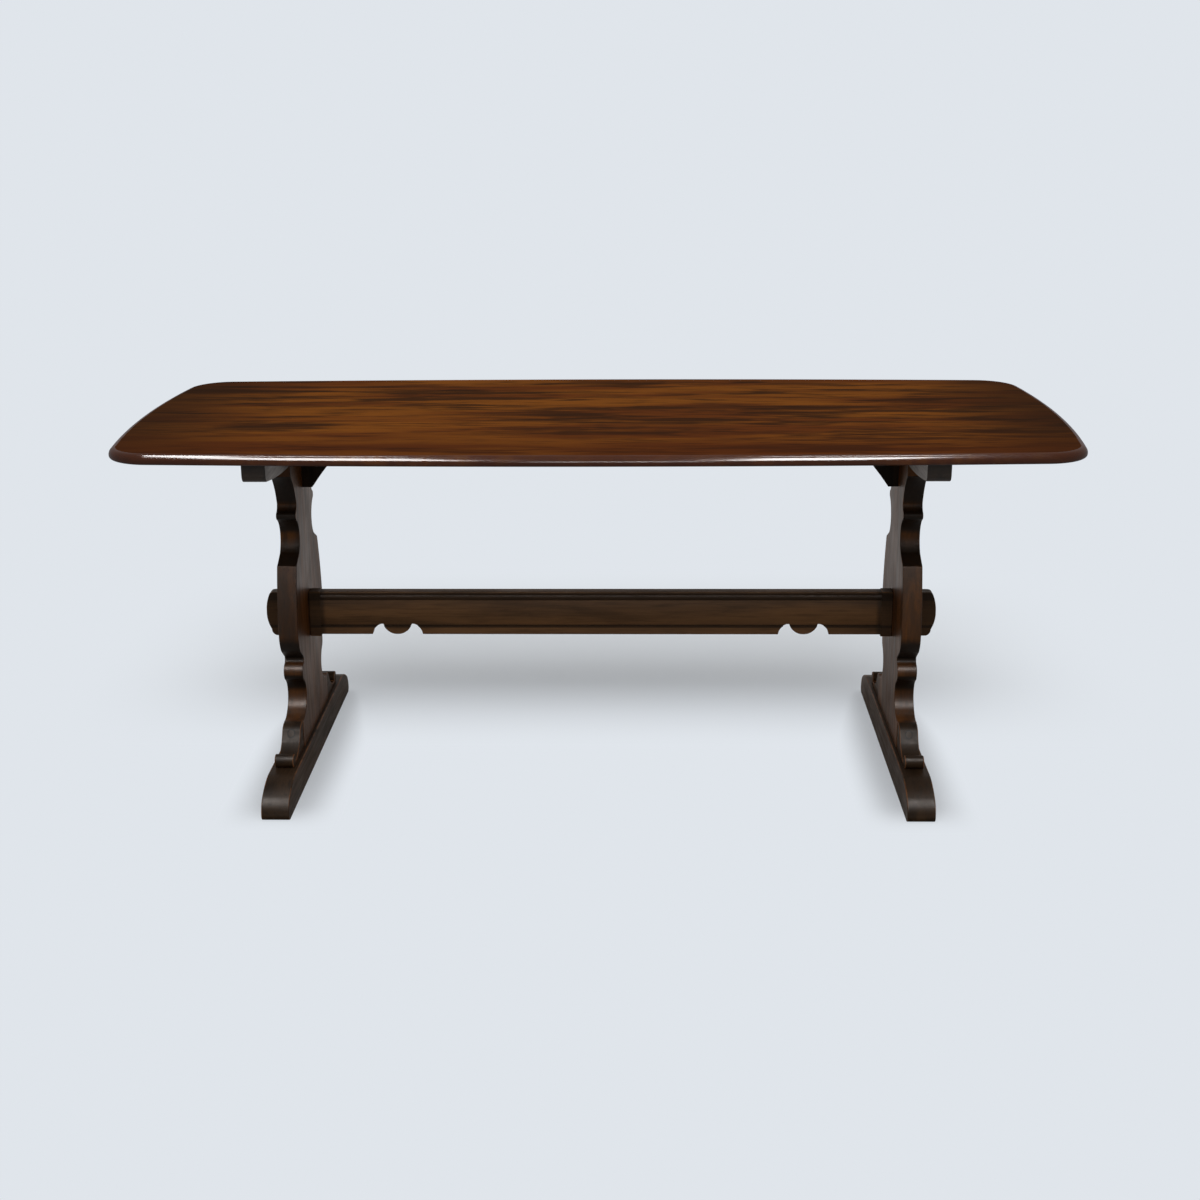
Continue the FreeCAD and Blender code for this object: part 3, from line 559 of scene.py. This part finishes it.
def shade_upright(tree, colour, place, palette):
    """Paint shade on an upright where its normal points down, and above its cusps.

    The painted shade above the cusps is a band of height over each cusp, on
    the sawn edges, where the normal has little X.
    """
    level = separated(tree, place)["Z"]
    facing = separated(tree, tree.nodes.new("ShaderNodeNewGeometry").outputs["Normal"])
    # painted shade where the normal points down, as under a lobe
    downward = between(tree, facing["Z"], -0.35, -0.02, 0.95, 0.0)
    colour = mixed(tree, downward, colour, palette["Deep"])
    on_edge = between(tree, value_of(tree, "ABSOLUTE", facing["X"]), 0.3, 0.7, 1.0, 0.0)
    before, after = CUSP_FADE
    for low, high in SHADED_CUSPS:
        rise = [FOOT_TOP + UPRIGHT_HEIGHT * share for share in (low - CUSP_START, low + CUSP_START)]
        fall = [FOOT_TOP + UPRIGHT_HEIGHT * share for share in (high - before, high + after)]
        # painted shade in a band above each cusp, where the lobe curves under
        cusp_shade = value_of(tree, "MULTIPLY", band(tree, level, rise, fall, 0.9), on_edge)
        colour = mixed(tree, cusp_shade, colour, palette["Deep"])
    return colour


def shade_stretcher(tree, colour, place, palette):
    """Paint shade on the stretcher in bands of height in its mouldings, and close to the uprights.
    """
    axes = separated(tree, place)
    for low, high, strength in SHADED_MOULDINGS:
        rise, fall = ([STRETCHER_BOTTOM + STRETCHER_DEPTH * (share + softness)
                       for softness in (-MOULDING_SOFTNESS, MOULDING_SOFTNESS)]
                      for share in (low, high))
        # painted shade in the hollow of each moulding
        moulding_shade = band(tree, axes["Z"], rise, fall, strength)
        colour = mixed(tree, moulding_shade, colour, palette["Deep"])
    # painted shade close to the uprights, where they meet the stretcher
    along = value_of(tree, "ABSOLUTE", axes["X"])
    start, end = (TRESTLE_INNER - distance for distance in SHADE_BY_UPRIGHT)
    return mixed(tree, between(tree, along, start, end, 0.0, 0.65), colour, palette["Deep"])


def ring_round_plug(tree, place):
    """Draw a ring where the distance from a plug's axis is the plug's radius."""
    axes = separated(tree, place)
    across = value_of(tree, "SUBTRACT", value_of(tree, "ABSOLUTE", axes["X"]), TRESTLE_MIDDLE)
    rise = value_of(tree, "SUBTRACT", axes["Z"], PLUG_LEVEL)
    from_axis = value_of(tree, "SQRT", value_of(
        tree, "ADD", value_of(tree, "MULTIPLY", across, across),
        value_of(tree, "MULTIPLY", rise, rise)))
    off_ring = value_of(tree, "ABSOLUTE", value_of(tree, "SUBTRACT", from_axis, PLUG_RADIUS))
    return between(tree, off_ring, RING_FULL, RING_FADED, 0.9, 0.0)


def varnish(tree, shader, place, gloss, dull, polish):
    """Set a wood's gloss.

    Roughness is a ramp of a slow noise, and rises by up to 0.1 with dull. The
    coat's weight goes from coat to edge_coat with polish.
    """
    smudges = noise(tree, place, scale=7.0)
    matt = between(tree, smudges, 0.35, 0.7, gloss["low"], gloss["high"])
    join(tree, value_of(tree, "ADD", matt, value_of(tree, "MULTIPLY", dull, 0.1)),
         shader.inputs["Roughness"])
    coat_gain = value_of(tree, "MULTIPLY", polish, gloss["edge_coat"] - gloss["coat"])
    join(tree, value_of(tree, "ADD", coat_gain, gloss["coat"]), shader.inputs["Coat Weight"])
    shader.inputs["Specular IOR Level"].default_value = gloss["specular"]
    shader.inputs["Coat Roughness"].default_value = gloss["coat_roughness"]
    shader.inputs["Coat IOR"].default_value = gloss["coat_ior"]
    shader.inputs["Coat Tint"].default_value = (*gloss["tint"], 1.0)


def make_wood(name, turn, palette, gloss, wear, kind="plain"):
    """Stained and varnished wood whose grain runs along X before the turn.

    Base colour is the figure, then the darker places of its kind, then the
    worn stain on rubbed arrises, then black in the joint lines. The kind
    boards gives each board its own figure, and the kind cheek adds a joint
    line round each plug.
    """
    material, tree, shader, place = start_material(name)
    turned = tree.nodes.new("ShaderNodeMapping")
    turned.inputs["Rotation"].default_value = turn
    join(tree, place, turned.inputs["Vector"])
    figure = place_group(tree, streaked_figure, turned.outputs["Vector"])
    figure.inputs["Contrast"].default_value = gloss["contrast"]
    for label in ("Deep", "Red", "Orange"):
        figure.inputs[label].default_value = (*palette[label], 1.0)
    if kind == "boards":
        shift = value_of(tree, "MULTIPLY", board_number(tree, place), BOARD_SHIFT)
        join(tree, shift, figure.inputs["Shift"])
    colour = figure.outputs["Color"]
    if kind in SHADES:
        colour = SHADES[kind](tree, colour, place, palette)
    edges = place_group(tree, edge_wear, place)
    edges.inputs["Amount"].default_value = wear
    worn = mixed(tree, edges.outputs["Mask"], colour, palette["Worn"])
    seam = edges.outputs["Seam"]
    if kind == "cheek":
        seam = value_of(tree, "MAXIMUM", seam, ring_round_plug(tree, place))
    join(tree, mixed(tree, seam, worn, SEAM_COLOUR), shader.inputs["Base Color"])
    varnish(tree, shader, place, gloss, figure.outputs["Dull"], edges.outputs["Polish"])
    relief = tree.nodes.new("ShaderNodeBump")
    relief.inputs["Distance"].default_value = gloss["relief"]
    relief.inputs["Strength"].default_value = 0.6
    join(tree, figure.outputs["Height"], relief.inputs["Height"])
    join(tree, relief.outputs["Normal"], shader.inputs["Normal"])
    return material


def make_steel():
    """Plain bright steel with faint turning marks."""
    material, tree, shader, place = start_material("screw_steel")
    marks = noise(tree, stretched(tree, place, 900.0, 900.0, 200.0), detail=2.0)
    shade = mixed(tree, marks, (0.42, 0.42, 0.43), (0.62, 0.62, 0.63))
    join(tree, shade, shader.inputs["Base Color"])
    shader.inputs["Metallic"].default_value = 1.0
    join(tree, between(tree, marks, 0.3, 0.7, 0.28, 0.42), shader.inputs["Roughness"])
    return material


SHADES = {"boards": shade_boards, "upright": shade_upright, "stretcher": shade_stretcher}

# How far the figure moves on from one board to the next, in the noise's fourth dimension
BOARD_SHIFT = 1.7

# Colours of the woods, in linear light
TOP_PALETTE = {"Deep": (0.021, 0.0090, 0.0040), "Red": (0.086, 0.0235, 0.0050),
               "Orange": (0.146, 0.0465, 0.0068), "Worn": (0.048, 0.0120, 0.0030)}
FRAME_PALETTE = {"Deep": (0.007, 0.0042, 0.0022), "Red": (0.054, 0.0200, 0.0050),
                 "Orange": (0.096, 0.0350, 0.0070), "Worn": (0.17, 0.072, 0.028)}
RAIL_PALETTE = {"Deep": (0.014, 0.0090, 0.0058), "Red": (0.098, 0.0530, 0.0270),
                "Orange": (0.140, 0.0720, 0.0320), "Worn": (0.17, 0.080, 0.030)}
DARK_PALETTE = {"Deep": (0.004, 0.0028, 0.0018), "Red": (0.015, 0.0095, 0.0058),
                "Orange": (0.023, 0.0140, 0.0080), "Worn": (0.10, 0.048, 0.022)}
FOOT_PALETTE = {"Deep": (0.009, 0.0058, 0.0036), "Red": (0.028, 0.0160, 0.0086),
                "Orange": (0.040, 0.0225, 0.0115), "Worn": (0.17, 0.072, 0.028)}
PALE_PALETTE = {"Deep": (0.030, 0.018, 0.010), "Red": (0.080, 0.045, 0.022),
                "Orange": (0.110, 0.060, 0.030), "Worn": (0.14, 0.080, 0.040)}
# Dark joint lines, which at the foot's top also stand for painted contact shade
SEAM_COLOUR = (0.003, 0.002, 0.0015)

# Gloss of the woods: low and high are the range of the roughness, and relief
# is the height of the grain in metres
TOP_GLOSS = {"low": 0.34, "high": 0.46, "specular": 0.0, "coat": 0.01, "edge_coat": 0.25,
             "coat_roughness": 0.12, "coat_ior": 1.5, "tint": (1.0, 1.0, 1.0),
             "contrast": 0.9, "relief": 0.00001}
FRAME_GLOSS = {"low": 0.34, "high": 0.44, "specular": 0.085, "coat": 1.0, "edge_coat": 1.0,
               "coat_roughness": 0.25, "coat_ior": 1.012, "tint": (1.0, 0.970, 0.945),
               "contrast": 0.6, "relief": 0.00005}
RAIL_GLOSS = {**FRAME_GLOSS, "specular": 0.035, "contrast": 0.35}
FOOT_GLOSS = {**FRAME_GLOSS, "specular": 0.038}
DARK_GLOSS = {**FRAME_GLOSS, "specular": 0.18}
PALE_GLOSS = {**FRAME_GLOSS, "specular": 0.04}

# Turns that bring the grain to run along an axis
ALONG_X = (0.0, 0.0, 0.0)
ALONG_Y = (0.0, 0.0, math.radians(-90))
ALONG_Z = (0.0, math.radians(90), 0.0)

top_wood = make_wood("top_wood", ALONG_X, TOP_PALETTE, TOP_GLOSS, wear=0.5, kind="boards")
rail_wood = make_wood("stretcher_wood", ALONG_X, RAIL_PALETTE, RAIL_GLOSS, wear=0.45,
                      kind="stretcher")
foot_wood = make_wood("foot_wood", ALONG_Y, FOOT_PALETTE, FOOT_GLOSS, wear=0.45)
bearer_wood = make_wood("bearer_wood", ALONG_Y, DARK_PALETTE, DARK_GLOSS, wear=0.20)
knee_wood = make_wood("knee_bracket_wood", ALONG_Z, DARK_PALETTE, FOOT_GLOSS, wear=0.20)
cheek_wood = make_wood("cheek_wood", ALONG_Y, FOOT_PALETTE, FOOT_GLOSS, wear=0.55, kind="cheek")
upright_wood = make_wood("upright_wood", ALONG_Z, FRAME_PALETTE, FRAME_GLOSS, wear=0.25,
                         kind="upright")
plug_wood = make_wood("plug_wood", ALONG_Z, FOOT_PALETTE, FOOT_GLOSS, wear=0.0, kind="cheek")
pale_wood = make_wood("wedge_wood", ALONG_X, PALE_PALETTE, PALE_GLOSS, wear=0.0)
screw_steel = make_steel()

for board in ("front", "front_inner", "middle", "back_inner", "back"):
    dress(f"top_board_{board}", top_wood)
dress("stretcher", rail_wood, STRETCHER_ARRIS, JOINT_LINE)
dress("knee_dowels", pale_wood)
dress("stretcher_wedges", pale_wood)
dress("cheek_plugs", plug_wood)
for screws in ("bearer_screws", "knee_screws", "cheek_screws"):
    dress(screws, screw_steel)
for side in ("left", "right"):
    dress(f"upright_{side}", upright_wood, TRESTLE_ARRIS, JOINT_LINE)
    dress(f"bearer_{side}", bearer_wood, TRESTLE_ARRIS)
    dress(f"foot_{side}", foot_wood, FOOT_ARRIS)
    dress(f"knee_bracket_{side}", knee_wood, TRESTLE_ARRIS)
    for end in ("front", "back"):
        dress(f"cheek_{end}_{side}", cheek_wood, CHEEK_ARRIS, CHEEK_JOINT_LINE)


# Floor, world and lamps, with colours in linear light
PALE_GROUND = (0.745, 0.784, 0.831)
DARK_FLOOR = (0.16, 0.15, 0.14)
WARM_LIGHT = (1.0, 0.985, 0.96)
FLOOR_REACH = 30.0

# Where the floor shows its shadow, as ramps in metres: behind the table along
# Y and X, by the feet along Y and off their middle, and below the top
BEHIND_TABLE = ((0.02, 0.55), (0.75, 1.35))
BEHIND_TO_SIDES = (0.45, 1.25)
ALONG_FOOT = ((-0.42, -0.28), (0.35, 0.80))
OFF_FOOT = (0.035, 0.12)
BELOW_TO_SIDES = (0.6, 0.8)
BELOW_TO_FRONT = (0.4, 0.7)


def seen_directly(tree):
    """Return 1 for camera, glossy and transmission rays, and 0 for the others."""
    rays = tree.nodes.new("ShaderNodeLightPath").outputs
    seen = value_of(tree, "MAXIMUM", rays["Is Camera Ray"], rays["Is Glossy Ray"])
    return value_of(tree, "MAXIMUM", seen, rays["Is Transmission Ray"])


def emptied_tree(owner):
    """Turn on a material's or a world's nodes and return its emptied tree."""
    owner.use_nodes = True
    owner.node_tree.nodes.clear()
    return owner.node_tree


def end_with_blend(tree, factor, first, second, output):
    """Mix two shaders by a factor and end the tree with them."""
    blend = tree.nodes.new("ShaderNodeMixShader")
    join(tree, factor, blend.inputs["Fac"])
    join(tree, first.outputs[0], blend.inputs[1])
    join(tree, second.outputs[0], blend.inputs[2])
    join(tree, blend.outputs[0], tree.nodes.new(output).inputs["Surface"])


def shadowed_part(tree):
    """Return how far the floor shows its shadow at a place, by smooth ramps.

    It does in a stretch behind the table and in a narrow band along each
    foot, and under the table too where gloss mirrors it.
    """
    axes = separated(tree, tree.nodes.new("ShaderNodeTexCoord").outputs["Object"])
    along = value_of(tree, "ABSOLUTE", axes["X"])
    off_middle = value_of(tree, "ABSOLUTE", axes["Y"])
    off_foot = value_of(tree, "ABSOLUTE", value_of(tree, "SUBTRACT", along, TRESTLE_MIDDLE))
    behind = value_of(tree, "MULTIPLY", band(tree, axes["Y"], *BEHIND_TABLE),
                      between(tree, along, *BEHIND_TO_SIDES, 1.0, 0.0))
    by_foot = value_of(tree, "MULTIPLY", band(tree, axes["Y"], *ALONG_FOOT),
                       between(tree, off_foot, *OFF_FOOT, 0.70, 0.0))
    below_top = value_of(tree, "MULTIPLY", between(tree, along, *BELOW_TO_SIDES, 1.0, 0.0),
                         between(tree, off_middle, *BELOW_TO_FRONT, 1.0, 0.0))
    mirrored = value_of(tree, "MULTIPLY", below_top,
                        tree.nodes.new("ShaderNodeLightPath").outputs["Is Glossy Ray"])
    seen = value_of(tree, "MULTIPLY", value_of(tree, "MAXIMUM", behind, by_foot), 0.9)
    return value_of(tree, "MAXIMUM", seen, mirrored)


def make_floor():
    """A pale floor that keeps the table's shadow and fades into the pale ground.

    To rays that see it directly it is matt where it shows its shadow, and
    evenly pale elsewhere. To all other rays it is matt and darker, so that
    little light comes up from below.
    """
    corners = [(-FLOOR_REACH, -FLOOR_REACH, 0), (FLOOR_REACH, -FLOOR_REACH, 0),
               (FLOOR_REACH, FLOOR_REACH, 0), (-FLOOR_REACH, FLOOR_REACH, 0)]
    mesh = bpy.data.meshes.new("floor")
    mesh.from_pydata(corners, [], [(0, 1, 2, 3)])
    floor = bpy.data.objects.new("floor", mesh)
    bpy.context.scene.collection.objects.link(floor)
    material = bpy.data.materials.new("pale_floor")
    tree = emptied_tree(material)
    others = value_of(tree, "SUBTRACT", 1.0, seen_directly(tree))
    even = tree.nodes.new("ShaderNodeEmission")
    even.inputs["Color"].default_value = (*PALE_GROUND, 1)
    matt = tree.nodes.new("ShaderNodeBsdfDiffuse")
    join(tree, mixed(tree, others, PALE_GROUND, DARK_FLOOR), matt.inputs["Color"])
    is_matt = value_of(tree, "MAXIMUM", shadowed_part(tree), others)
    end_with_blend(tree, is_matt, even, matt, "ShaderNodeOutputMaterial")
    mesh.materials.append(material)


def make_world(strength):
    """The pale ground as the camera and the gloss see it, and even light for the rest."""
    world = bpy.data.worlds.new("studio")
    bpy.context.scene.world = world
    tree = emptied_tree(world)
    light = tree.nodes.new("ShaderNodeBackground")
    light.inputs["Color"].default_value = (*WARM_LIGHT, 1)
    light.inputs["Strength"].default_value = strength
    shown = tree.nodes.new("ShaderNodeBackground")
    shown.inputs["Color"].default_value = (*PALE_GROUND, 1)
    end_with_blend(tree, seen_directly(tree), light, shown, "ShaderNodeOutputWorld")


def add_lamp(name, position, target, width, height, watts, mirrored):
    """Add a rectangular lamp facing a point, either mirrored in gloss or lighting the rest."""
    data = bpy.data.lights.new(name, "AREA")
    data.shape = "RECTANGLE"
    data.size = width
    data.size_y = height
    data.energy = watts
    lamp = bpy.data.objects.new(name, data)
    lamp.visible_glossy = mirrored
    lamp.visible_diffuse = not mirrored
    lamp.location = position
    lamp.rotation_euler = (Vector(target) - Vector(position)).to_track_quat("-Z", "Y").to_euler()
    bpy.context.scene.collection.objects.link(lamp)


make_floor()
make_world(strength=0.62)
add_lamp("ceiling_box", (0, -0.4, 3.1), (0, -0.4, 0), 2.6, 1.4, 34, mirrored=False)
add_lamp("front_box", (0, -3.2, 2.9), (0, 0, 0.2), 3.0, 1.6, 32, mirrored=False)
add_lamp("left_shine", (-1.15, -1.7, 3.1), (-1.15, -1.7, 0), 0.9, 4.4, 1100, mirrored=True)
add_lamp("right_shine", (0.85, -1.7, 3.1), (0.85, -1.7, 0), 0.65, 4.4, 915, mirrored=True)
add_lamp("front_shine", (0, -5.4, 2.6), (0, 0, 0.6), 1.0, 0.20, 85, mirrored=True)

# The camera's place, its angles in degrees, and its lens and sensor in millimetres
CAMERA_PLACE = (0.0754, -3.4541, 1.4005)
YAW = -1.251
PITCH_DOWN = 17.193
ROLL = 0.346
LENS = 52.812
SENSOR_WIDTH = 36.0
VIEW_REACH = 200


def add_camera():
    """Stand the camera where the picture was taken, looking down at the table."""
    yaw, pitch, roll = (math.radians(angle) for angle in (YAW, PITCH_DOWN, ROLL))
    forward = Vector((math.sin(yaw) * math.cos(pitch), math.cos(yaw) * math.cos(pitch),
                      -math.sin(pitch)))
    level_right = Vector((math.cos(yaw), -math.sin(yaw), 0))
    level_down = forward.cross(level_right)
    right = level_right * math.cos(roll) + level_down * math.sin(roll)
    down = level_down * math.cos(roll) - level_right * math.sin(roll)
    data = bpy.data.cameras.new("camera")
    data.lens = LENS
    data.sensor_width = SENSOR_WIDTH
    data.clip_end = VIEW_REACH
    camera = bpy.data.objects.new("camera", data)
    turn = Matrix((right, -down, -forward)).transposed().to_4x4()
    camera.matrix_world = Matrix.Translation(CAMERA_PLACE) @ turn
    bpy.context.scene.collection.objects.link(camera)
    bpy.context.scene.camera = camera


add_camera()
